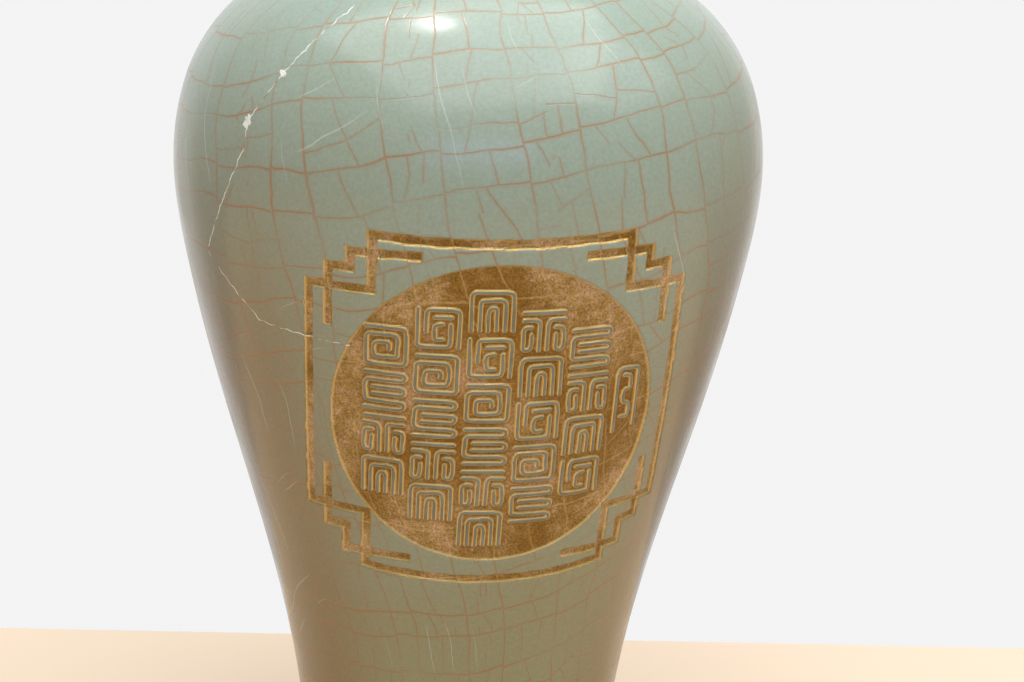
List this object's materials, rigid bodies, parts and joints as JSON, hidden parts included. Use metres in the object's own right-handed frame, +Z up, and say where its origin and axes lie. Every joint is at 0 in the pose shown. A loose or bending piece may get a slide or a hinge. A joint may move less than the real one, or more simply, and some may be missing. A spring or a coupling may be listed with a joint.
{
  "type": "porcelain vase",
  "caption": "Crackle-glazed celadon plum vase with a short neck, round shoulder and a sunk gilded medallion in a stepped frame.",
  "frame": {"origin": "centre of the foot ring's resting face", "axes": "+Z up along the vase's axis, -Y out of the cartouche, +X to the right of someone who looks at the cartouche"},
  "size_m": [0.2, 0.2, 0.3312],
  "materials": {
    "clay": "bare stoneware, burnt brown where it is not glazed",
    "glaze": "satin celadon glaze with brown-stained crackle",
    "gilding": "worn brownish gilding over size",
    "fret_glaze": "grey-green glaze on the raised strips",
    "fill": "matt restorer's fill"
  },
  "bodies": {
    "root": {"foot_section": "clay", "belly_section": "clay", "shoulder_section": "clay", "neck": "clay", "base_disc": "clay", "lower_lute_coil": "clay", "upper_lute_coil": "clay", "neck_lute_coil": "clay", "outer_glaze": "glaze", "inner_glaze": "glaze", "base_glaze": "glaze", "medallion_gilding": "gilding", "frame_gilding": "gilding", "hook_gilding_top_left": "gilding", "hook_gilding_top_right": "gilding", "hook_gilding_bottom_left": "gilding", "hook_gilding_bottom_right": "gilding", "fret_column_1": "fret_glaze", "fret_column_2": "fret_glaze", "fret_column_3": "fret_glaze", "fret_column_4": "fret_glaze", "fret_column_5": "fret_glaze", "fret_panel": "fret_glaze", "chip_fill_upper": "fill", "chip_fill_lower": "fill"}
  },
  "joints": []
}
